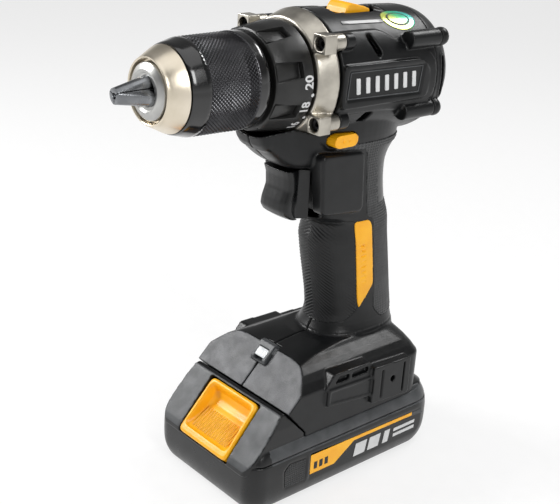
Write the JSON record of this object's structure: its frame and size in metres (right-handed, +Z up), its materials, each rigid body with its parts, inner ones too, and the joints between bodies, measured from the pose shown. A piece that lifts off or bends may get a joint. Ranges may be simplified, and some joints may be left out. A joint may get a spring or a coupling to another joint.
{
  "type": "cordless drill",
  "caption": "Pistol-grip cordless drill with keyless chuck, clutch ring, two-speed gearbox, trigger and a slide-on battery that forms its foot.",
  "frame": {"origin": "centre of the flat bottom face of the battery, on the surface that the drill stands on", "axes": "+X forward along the spindle, +Y to the left side of the drill, +Z up"},
  "size_m": [0.1806, 0.0764, 0.2302],
  "materials": {
    "charcoal_shell": "fine satin moulded texture",
    "grip_rubber": "soft matt overmould with small raised dots",
    "accent_orange": "satin moulded",
    "dark_steel": "black oxide",
    "bright_steel": "machined",
    "cast_nickel": "satin cast alloy",
    "copper_windings": "enamelled wire",
    "black_plastic": "fine matt",
    "knurled_black": "black oxide, gloss",
    "satin_nickel": "satin",
    "lamp_lens": "frosted",
    "board_green": "solder mask",
    "battery_black": "fine matt texture",
    "cell_wrap": "shrink film",
    "bearing_steel": "ground",
    "grease_nylon": "natural nylon"
  },
  "bodies": {
    "housing": {"left_housing_shell": "charcoal_shell", "right_housing_shell": "charcoal_shell", "rear_cap": "charcoal_shell", "left_grip_rubber": "grip_rubber", "right_grip_rubber": "grip_rubber", "left_accent_stripe": "accent_orange", "right_accent_stripe": "accent_orange", "work_light_lens": "lamp_lens", "terminal_block": "black_plastic", "control_board": "board_green", "switch_body": "black_plastic", "trigger_spring": "bright_steel", "motor_can": "bright_steel", "brush_cap": "black_plastic", "fixed_ring_gear": "bright_steel", "spindle_bearing": "bearing_steel", "gear_case": "cast_nickel", "clutch_spring": "bright_steel", "shell_screw_1": "dark_steel", "shell_screw_2": "dark_steel", "shell_screw_3": "dark_steel", "rear_cap_screw_1": "dark_steel", "gear_case_screw_1": "dark_steel", "rear_cap_screw_2": "dark_steel", "gear_case_screw_2": "dark_steel", "rear_cap_screw_3": "dark_steel", "gear_case_screw_3": "dark_steel", "rear_cap_screw_4": "dark_steel", "gear_case_screw_4": "dark_steel"},
    "spindle": {"output_spindle": "bright_steel", "chuck_body": "bright_steel", "chuck_screw": "dark_steel"},
    "first_carrier": {"first_carrier": "bright_steel"},
    "rotor": {"rotor": "copper_windings", "cooling_fan": "grease_nylon"},
    "stage_1_planet_1": {"stage_1_planet_1": "grease_nylon"},
    "stage_1_planet_2": {"stage_1_planet_2": "grease_nylon"},
    "stage_1_planet_3": {"stage_1_planet_3": "grease_nylon"},
    "stage_2_planet_1": {"stage_2_planet_1": "bright_steel"},
    "stage_2_planet_2": {"stage_2_planet_2": "bright_steel"},
    "stage_2_planet_3": {"stage_2_planet_3": "bright_steel"},
    "chuck_sleeve": {"chuck_sleeve": "knurled_black", "nose_cone": "satin_nickel", "jaw_nut": "dark_steel"},
    "jaw_1": {"jaw_1": "dark_steel"},
    "jaw_2": {"jaw_2": "dark_steel"},
    "jaw_3": {"jaw_3": "dark_steel"},
    "torque_ring": {"torque_ring": "black_plastic"},
    "clutch_nut": {"clutch_nut": "grease_nylon"},
    "trigger": {"trigger": "black_plastic"},
    "direction_button": {"direction_button": "accent_orange"},
    "speed_selector": {"speed_selector": "accent_orange", "shift_fork": "bright_steel", "shift_ring_gear": "grease_nylon"},
    "battery": {"battery_case": "battery_black", "battery_lid": "battery_black", "cell_pack": "cell_wrap", "cell_board": "board_green", "button_spring": "bright_steel"},
    "release_button": {"release_button": "accent_orange"}
  },
  "joints": [
    {"name": "spindle_spin", "type": "hinge", "parent": "housing", "child": "spindle", "pos_m": [0.04, 0, 0.2], "axis": [1, 0, 0], "continuous": true},
    {"name": "first_carrier_spin", "type": "hinge", "parent": "housing", "child": "first_carrier", "pos_m": [0.012, 0, 0.2], "axis": [1, 0, 0], "continuous": true},
    {"name": "rotor_spin", "type": "hinge", "parent": "housing", "child": "rotor", "pos_m": [-0.02, 0, 0.2], "axis": [1, 0, 0], "continuous": true},
    {"name": "stage_1_planet_1_spin", "type": "hinge", "parent": "first_carrier", "child": "stage_1_planet_1", "pos_m": [0.008, 0, 0.21147], "axis": [1, 0, 0], "continuous": true},
    {"name": "stage_1_planet_2_spin", "type": "hinge", "parent": "first_carrier", "child": "stage_1_planet_2", "pos_m": [0.008, -0.00994, 0.19426], "axis": [1, 0, 0], "continuous": true},
    {"name": "stage_1_planet_3_spin", "type": "hinge", "parent": "first_carrier", "child": "stage_1_planet_3", "pos_m": [0.008, 0.00994, 0.19426], "axis": [1, 0, 0], "continuous": true},
    {"name": "stage_2_planet_1_spin", "type": "hinge", "parent": "spindle", "child": "stage_2_planet_1", "pos_m": [0.017, 0, 0.21147], "axis": [1, 0, 0], "continuous": true},
    {"name": "stage_2_planet_2_spin", "type": "hinge", "parent": "spindle", "child": "stage_2_planet_2", "pos_m": [0.017, -0.00994, 0.19426], "axis": [1, 0, 0], "continuous": true},
    {"name": "stage_2_planet_3_spin", "type": "hinge", "parent": "spindle", "child": "stage_2_planet_3", "pos_m": [0.017, 0.00994, 0.19426], "axis": [1, 0, 0], "continuous": true},
    {"name": "chuck_sleeve_turn", "type": "hinge", "parent": "spindle", "child": "chuck_sleeve", "pos_m": [0.07, 0, 0.2], "axis": [1, 0, 0], "range_deg": [0, 2880]},
    {"name": "jaw_1_slide", "type": "slide", "parent": "spindle", "child": "jaw_1", "axis": [-0.9724, 0, 0.2334], "range_m": [0, 0.0278]},
    {"name": "jaw_2_slide", "type": "slide", "parent": "spindle", "child": "jaw_2", "axis": [-0.9724, -0.2022, -0.1167], "range_m": [0, 0.0278]},
    {"name": "jaw_3_slide", "type": "slide", "parent": "spindle", "child": "jaw_3", "axis": [-0.9724, 0.2022, -0.1167], "range_m": [0, 0.0278]},
    {"name": "torque_ring_turn", "type": "hinge", "parent": "housing", "child": "torque_ring", "pos_m": [0.042, 0, 0.2], "axis": [1, 0, 0], "range_deg": [0, 300]},
    {"name": "clutch_nut_slide", "type": "slide", "parent": "torque_ring", "child": "clutch_nut", "axis": [-1, 0, 0], "range_m": [0, 0.0024], "deforming": ["clutch_spring"]},
    {"name": "trigger_pull", "type": "slide", "parent": "housing", "child": "trigger", "axis": [-1, 0, 0], "range_m": [0, 0.0065], "stiffness_N_per_m": 700, "springref_m": -0.002, "deforming": ["trigger_spring"]},
    {"name": "direction_slide", "type": "slide", "parent": "housing", "child": "direction_button", "axis": [0, -1, 0], "range_m": [0, 0.0044]},
    {"name": "speed_slide", "type": "slide", "parent": "housing", "child": "speed_selector", "axis": [-1, 0, 0], "range_m": [0, 0.004]},
    {"name": "battery_slide", "type": "slide", "parent": "housing", "child": "battery", "axis": [1, 0, 0], "range_m": [0, 0.095]},
    {"name": "release_button_press", "type": "slide", "parent": "battery", "child": "release_button", "axis": [-0.751, 0, -0.6603], "range_m": [0, 0.003], "stiffness_N_per_m": 900, "springref_m": -0.002, "deforming": ["button_spring"]}
  ],
  "couplings": [
    {"joint": "first_carrier_spin", "follows": "spindle_spin", "ratio": 4.5},
    {"joint": "rotor_spin", "follows": "spindle_spin", "ratio": 20.25},
    {"joint": "stage_1_planet_1_spin", "follows": "spindle_spin", "ratio": -12.6},
    {"joint": "stage_1_planet_2_spin", "follows": "spindle_spin", "ratio": -12.6},
    {"joint": "stage_1_planet_3_spin", "follows": "spindle_spin", "ratio": -12.6},
    {"joint": "stage_2_planet_1_spin", "follows": "spindle_spin", "ratio": -2.8},
    {"joint": "stage_2_planet_2_spin", "follows": "spindle_spin", "ratio": -2.8},
    {"joint": "stage_2_planet_3_spin", "follows": "spindle_spin", "ratio": -2.8},
    {"joint": "jaw_1_slide", "follows": "chuck_sleeve_turn", "m_per_rad": 0.00055306},
    {"joint": "jaw_2_slide", "follows": "chuck_sleeve_turn", "m_per_rad": 0.00055306},
    {"joint": "jaw_3_slide", "follows": "chuck_sleeve_turn", "m_per_rad": 0.00055306},
    {"joint": "clutch_nut_slide", "follows": "torque_ring_turn", "m_per_rad": 0.00045837}
  ]
}
